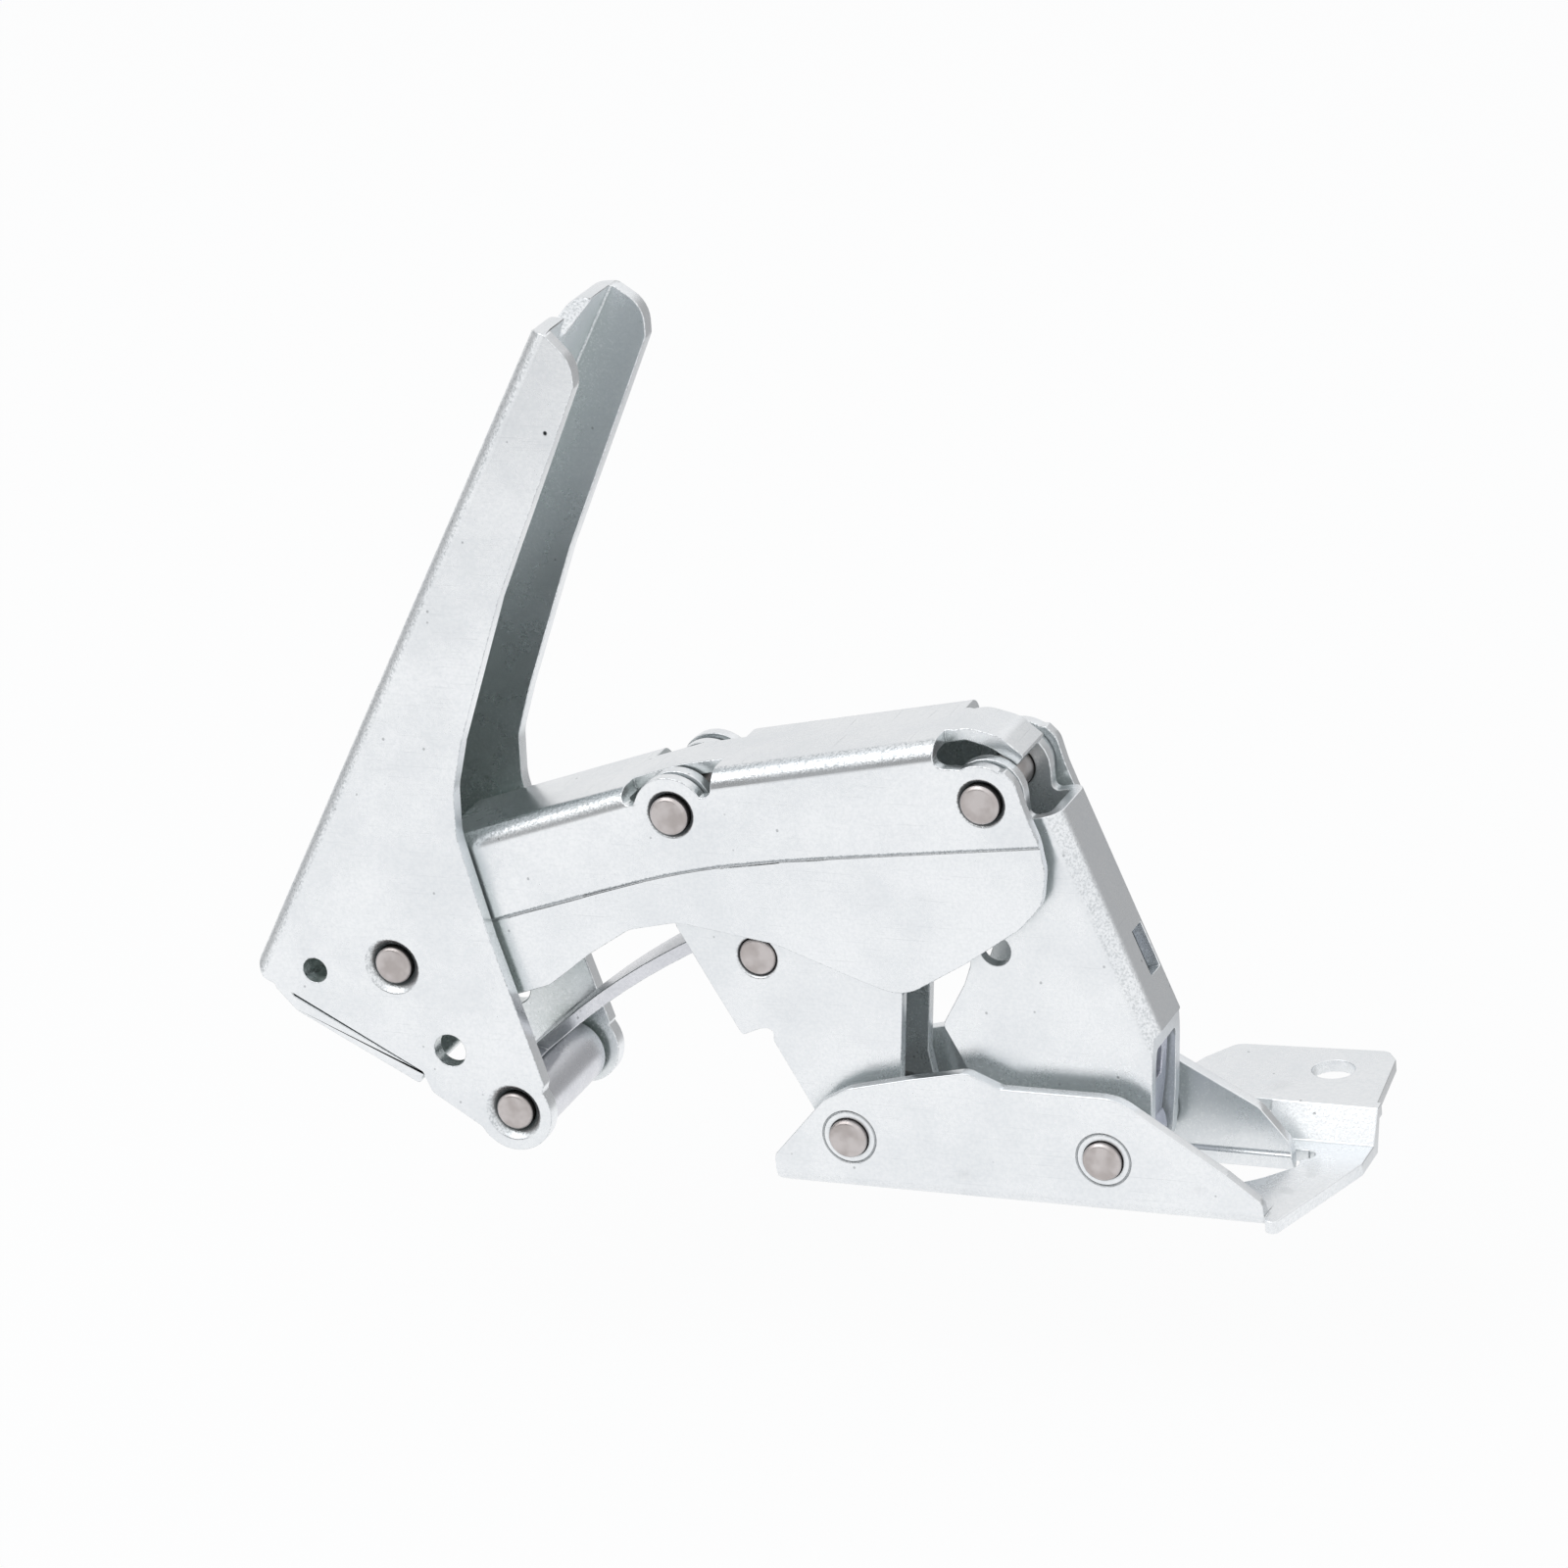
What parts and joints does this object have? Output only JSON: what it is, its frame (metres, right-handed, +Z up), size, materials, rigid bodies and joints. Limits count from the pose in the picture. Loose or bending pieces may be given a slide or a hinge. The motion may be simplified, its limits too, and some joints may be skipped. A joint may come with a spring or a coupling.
{
  "type": "fridge door hinge",
  "caption": "Seven-pivot sheet-steel hinge for a built-in fridge door, half open, zinc-plated with riveted pins.",
  "frame": {"origin": "under the door plate's inner pivot, on the hinge's centre plane and on the plate's flat underside", "axes": "+X along the door plate towards its free end, +Y across the hinge towards the screw flange, +Z up out of the door plate"},
  "size_m": [0.1686, 0.0514, 0.1337],
  "materials": {
    "plate_sheet": "bright zinc plate on pressed sheet, light scuffs",
    "arm_sheet": "bright zinc plate on pressed sheet, light scuffs",
    "bracket_sheet": "bright zinc plate on pressed sheet, light scuffs",
    "link_sheet": "bright zinc plate on pressed sheet, light scuffs",
    "strap_sheet": "bright zinc plate on rolled strap",
    "spring_strip": "bluish zinc plate on thin strip",
    "pin_steel": "bare steel, pressed and riveted",
    "washer_steel": "plain rolled steel"
  },
  "bodies": {
    "door_plate": {"door_plate": "plate_sheet", "plate_pin_inner": "pin_steel", "plate_pin_outer": "pin_steel", "washer_f_front": "washer_steel", "washer_f_back": "washer_steel", "washer_g_front": "washer_steel", "washer_g_back": "washer_steel"},
    "outer_lever": {"outer_lever": "link_sheet", "lever_strip": "spring_strip"},
    "main_arm": {"main_arm": "arm_sheet", "arm_pin_inner": "pin_steel", "arm_pin_outer": "pin_steel", "washer_c_front": "washer_steel", "washer_c_back": "washer_steel", "washer_d_front": "washer_steel", "washer_d_back": "washer_steel"},
    "cross_link": {"cross_link": "link_sheet", "link_pin": "pin_steel"},
    "cabinet_bracket": {"cabinet_bracket": "bracket_sheet", "bracket_pin_upper": "pin_steel", "bracket_pin_lower": "pin_steel"},
    "curved_link": {"curved_link": "strap_sheet"}
  },
  "joints": [
    {"name": "fold", "type": "hinge", "parent": "door_plate", "child": "outer_lever", "pos_m": [0.04, 0, 0.009], "axis": [0, -1, 0], "range_deg": [-45, 43]},
    {"name": "arm_on_lever", "type": "hinge", "parent": "outer_lever", "child": "main_arm", "pos_m": [0.0248, 0, 0.0639], "axis": [0, -1, 0], "range_deg": [-33.2, 34.8]},
    {"name": "cross_on_arm", "type": "hinge", "parent": "main_arm", "child": "cross_link", "pos_m": [-0.0245, 0, 0.0588], "axis": [0, -1, 0], "range_deg": [-38.3, 36.6]},
    {"name": "bracket_on_arm", "type": "hinge", "parent": "main_arm", "child": "cabinet_bracket", "pos_m": [-0.072, 0, 0.0318], "axis": [0, -1, 0], "range_deg": [-33.4, 31.9]},
    {"name": "strap_on_bracket", "type": "hinge", "parent": "cabinet_bracket", "child": "curved_link", "pos_m": [-0.0542, 0, 0.009], "axis": [0, -1, 0], "range_deg": [-36.9, 38.5]}
  ],
  "couplings": [
    {"joint": "arm_on_lever", "follows": "fold", "ratio": -0.767},
    {"joint": "cross_on_arm", "follows": "fold", "ratio": 0.846},
    {"joint": "bracket_on_arm", "follows": "fold", "ratio": 0.736},
    {"joint": "strap_on_bracket", "follows": "fold", "ratio": -0.851}
  ]
}
